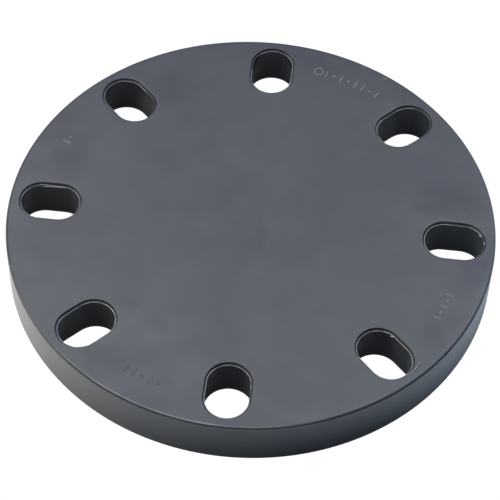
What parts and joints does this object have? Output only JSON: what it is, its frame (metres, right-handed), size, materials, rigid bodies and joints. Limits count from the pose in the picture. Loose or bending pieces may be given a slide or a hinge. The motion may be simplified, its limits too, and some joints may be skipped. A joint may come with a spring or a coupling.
{
  "type": "blind flange",
  "caption": "Round blind flange moulded in dark grey PVC-U, with radially slotted bolt holes that suit several drillings, for closing the flanged end of a plastic pipe.",
  "frame": {"origin": "centre of the jointing face, the flat underside that closes on the gasket", "axes": "+Z out of the marked outer face along the pipe's axis, +X through the middle of the first bolt slot, and the other slots every 45 degrees from it"},
  "size_m": [0.22, 0.22, 0.0244],
  "materials": {
    "grey_pvc_u": "satin as moulded, with fine mottling and paler whitened edges round the slots"
  },
  "bodies": {
    "root": {"flange_disc": "grey_pvc_u"}
  },
  "joints": []
}
